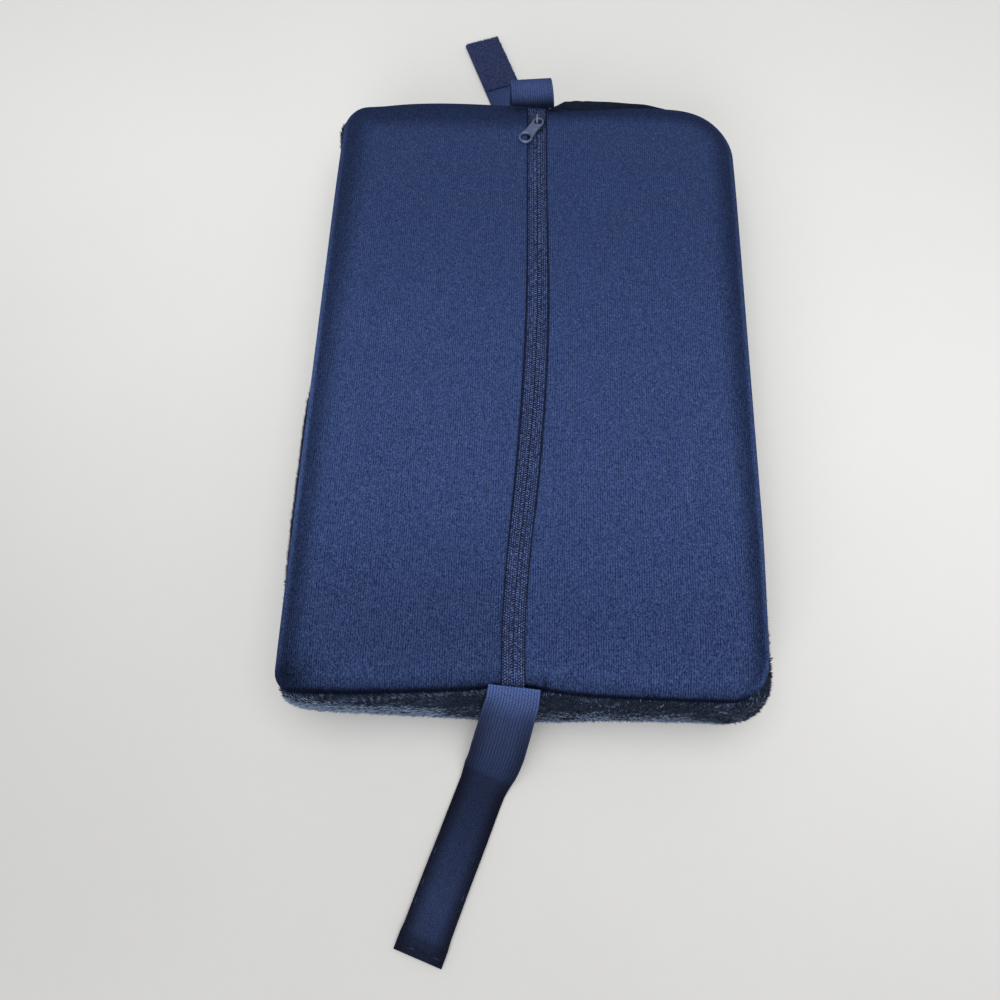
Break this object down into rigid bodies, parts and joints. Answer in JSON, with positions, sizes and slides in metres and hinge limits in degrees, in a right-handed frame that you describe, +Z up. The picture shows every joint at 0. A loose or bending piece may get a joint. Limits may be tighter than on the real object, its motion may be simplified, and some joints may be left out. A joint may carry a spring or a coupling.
{
  "type": "lumbar pillow",
  "caption": "Flat rectangular lumbar support pillow with plush front and sides, smooth zipped back and elastic strap ends with grip patches that fasten it round a chair back.",
  "frame": {"origin": "middle of the flat resting face under the plush front", "axes": "+Z up out of the zipped back, +Y along the zip from the near strap to the far strap, +X to the right"},
  "size_m": [0.2353, 0.5818, 0.0687],
  "materials": {
    "plush": "short brushed plush pile, dark blue-grey",
    "back_knit": "smooth brushed knit, navy, fine lengthwise ribs",
    "zip_tape": "woven tape, dark navy",
    "zip_coil": "nylon coil, navy",
    "zip_metal": "satin enamel, blue-grey",
    "elastic": "ribbed woven elastic, navy",
    "hook_tape": "nylon hook tape, dark navy",
    "loop_tape": "brushed loop tape, dark navy"
  },
  "bodies": {
    "root": {"plush_body": "plush", "back_panel_left": "back_knit", "back_panel_right": "back_knit", "zip_tape_left": "zip_tape", "zip_tape_right": "zip_tape", "zip_coil": "zip_coil", "zip_slider": "zip_metal", "zip_pull": "zip_metal", "near_strap": "elastic", "far_strap": "elastic", "hook_patch": "hook_tape", "loop_patch": "loop_tape"}
  },
  "joints": []
}
